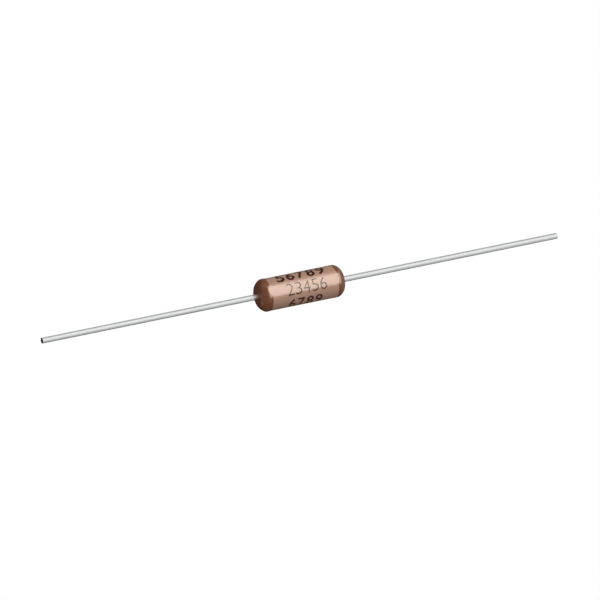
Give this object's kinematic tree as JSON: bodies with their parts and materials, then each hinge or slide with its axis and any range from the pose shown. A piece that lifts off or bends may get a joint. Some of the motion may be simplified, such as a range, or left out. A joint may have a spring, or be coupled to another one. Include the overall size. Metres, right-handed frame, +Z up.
{
  "type": "metal film resistor",
  "caption": "Axial-lead film resistor: round-ended cylindrical brown body with a lighter printed band and a long straight tinned wire lead at each end.",
  "frame": {"origin": "on the resistor's axis, at the middle of the body", "axes": "+X along the axis towards the right lead, +Y away from the marking's side, +Z up"},
  "size_m": [0.0606, 0.0036, 0.0036],
  "materials": {
    "alumina": "matte",
    "metal_film": "satin",
    "cap_steel": "satin",
    "tinned_copper": "satin",
    "epoxy_brown": "gloss",
    "band_paint": "gloss"
  },
  "bodies": {
    "root": {"ceramic_core": "alumina", "resistive_film": "metal_film", "end_cap_left": "cap_steel", "end_cap_right": "cap_steel", "lead_left": "tinned_copper", "lead_right": "tinned_copper", "body_coating": "epoxy_brown", "marking_band": "band_paint"}
  },
  "joints": []
}
